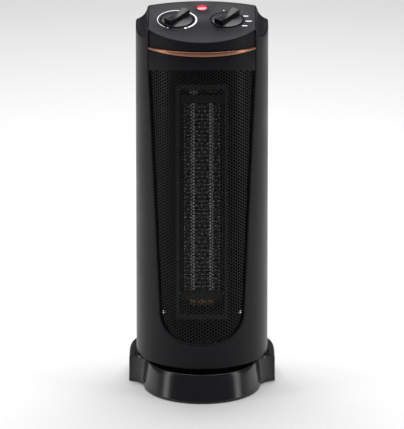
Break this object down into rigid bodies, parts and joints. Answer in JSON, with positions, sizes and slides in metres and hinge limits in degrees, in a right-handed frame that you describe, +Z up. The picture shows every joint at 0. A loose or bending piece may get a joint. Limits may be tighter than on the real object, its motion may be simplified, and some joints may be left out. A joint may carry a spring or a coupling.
{
  "type": "ceramic tower heater",
  "caption": "Black tower fan heater with a round perforated front, a sloping two-knob panel and a copper band, turning on a wide base with a ceramic heater and a cross-flow blower inside.",
  "frame": {"origin": "on the floor, at the middle of the whole heater's footprint", "axes": "+Z up, -Y towards the front grille, +X to the right seen from the front"},
  "size_m": [0.174, 0.1722, 0.4652],
  "materials": {
    "base_plastic": "satin black",
    "apron_plastic": "gloss black",
    "well_plastic": "matt black",
    "housing_plastic": "satin black",
    "panel_plastic": "satin charcoal",
    "knob_plastic": "satin charcoal",
    "copper_trim": "satin copper",
    "grille_steel": "semi-gloss black",
    "pilot_red": "clear red",
    "lamp_glass": "clear",
    "rubber": "matt",
    "duct_plastic": "heat-resistant grey-black",
    "bracket_plastic": "moulded",
    "wheel_plastic": "moulded",
    "bearing_plastic": "natural",
    "switch_plastic": "moulded",
    "plunger_plastic": "moulded",
    "ptc_ceramic": "fired",
    "cutout_ceramic": "fired",
    "fin_aluminium": "mill",
    "screw_steel": "zinc plated",
    "motor_steel": "zinc plated",
    "terminal_brass": "stamped",
    "bearing_bronze": "sintered",
    "cast_weight": "as cast"
  },
  "bodies": {
    "base": {"base_shell": "base_plastic", "base_apron": "apron_plastic", "base_well": "well_plastic", "bottom_plate": "well_plastic", "rubber_feet": "rubber", "ballast_plate": "cast_weight", "base_screws": "screw_steel", "swivel_bearing": "bearing_plastic", "osc_motor": "motor_steel", "osc_motor_screws": "screw_steel", "tip_switch": "switch_plastic", "cord_gland": "rubber"},
    "tower": {"tower_floor": "well_plastic", "pivot_tube": "screw_steel", "pivot_retainer": "screw_steel", "osc_lever": "bearing_plastic", "front_housing": "housing_plastic", "rear_housing": "housing_plastic", "housing_screws": "screw_steel", "control_panel": "panel_plastic", "trim_band": "copper_trim", "fascia": "panel_plastic", "front_grille": "grille_steel", "panel_screws": "screw_steel", "outlet_duct": "duct_plastic", "ptc_bars": "ptc_ceramic", "heat_fins": "fin_aluminium", "heater_top_bracket": "bracket_plastic", "heater_low_bracket": "bracket_plastic", "heater_terminals": "terminal_brass", "thermal_cutout": "cutout_ceramic", "thermal_fuse": "terminal_brass", "blower_scroll": "duct_plastic", "blower_top_plate": "duct_plastic", "upper_bearing": "bearing_bronze", "blower_motor": "motor_steel", "motor_plate": "motor_steel", "motor_screws": "screw_steel", "terminal_block": "switch_plastic", "thermostat": "switch_plastic", "mode_switch": "well_plastic", "pilot_lens": "pilot_red", "pilot_lamp": "lamp_glass"},
    "crank": {"osc_crank": "bearing_plastic"},
    "plunger": {"tip_plunger": "plunger_plastic"},
    "blower": {"blower_wheel": "wheel_plastic", "wheel_shaft": "screw_steel"},
    "thermostat_dial": {"thermostat_shaft": "screw_steel", "thermostat_knob": "knob_plastic"},
    "mode_dial": {"mode_shaft": "screw_steel", "mode_knob": "knob_plastic"}
  },
  "joints": [
    {"name": "tower_swivel", "type": "hinge", "parent": "base", "child": "tower", "pos_m": [0, 0.0111, 0.03], "axis": [0, 0, 1], "range_deg": [-28, 28]},
    {"name": "crank_turn", "type": "hinge", "parent": "base", "child": "crank", "pos_m": [0, 0.0471, 0.025], "axis": [0, 0, 1], "continuous": true},
    {"name": "plunger_slide", "type": "slide", "parent": "base", "child": "plunger", "axis": [0, 0, 1], "range_m": [-0.004, 0], "stiffness_N_per_m": 60, "springref_m": -0.008},
    {"name": "blower_spin", "type": "hinge", "parent": "tower", "child": "blower", "pos_m": [0, 0.0271, 0.2], "axis": [0, 0, 1], "continuous": true},
    {"name": "thermostat_turn", "type": "hinge", "parent": "tower", "child": "thermostat_dial", "pos_m": [-0.0295, -0.00949, 0.45379], "axis": [0, 0.1959, -0.9806], "range_deg": [0, 300]},
    {"name": "mode_turn", "type": "hinge", "parent": "tower", "child": "mode_dial", "pos_m": [0.0295, -0.00949, 0.45379], "axis": [0, 0.1959, -0.9806], "range_deg": [-46, 88]}
  ]
}
